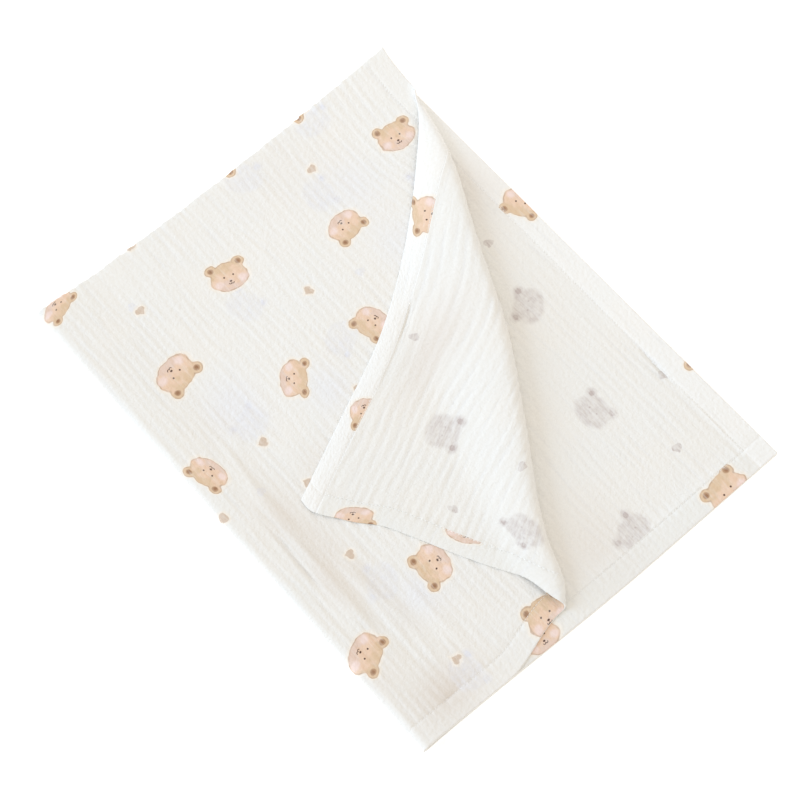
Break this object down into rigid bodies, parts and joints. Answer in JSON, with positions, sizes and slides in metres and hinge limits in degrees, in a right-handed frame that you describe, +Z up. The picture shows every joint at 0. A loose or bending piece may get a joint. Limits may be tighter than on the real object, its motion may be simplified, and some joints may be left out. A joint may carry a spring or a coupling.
{
  "type": "swaddle blanket",
  "caption": "Crinkled double-gauze cotton swaddle blanket, hemmed all round, lying folded in quarters with the top layer's free corner turned back in a soft roll.",
  "frame": {"origin": "centre of the folded blanket's outline, on the surface that it lies on", "axes": "+Z up; +X along the long side, from the sharp first fold to the short hems; +Y along the short side, from the soft second fold to the long hems"},
  "size_m": [0.6044, 0.4684, 0.0266],
  "materials": {
    "double_gauze": "matt ivory cotton gauze with a crinkled surface and a small scattered print"
  },
  "bodies": {
    "root": {"swaddle_blanket": "double_gauze"}
  },
  "joints": []
}
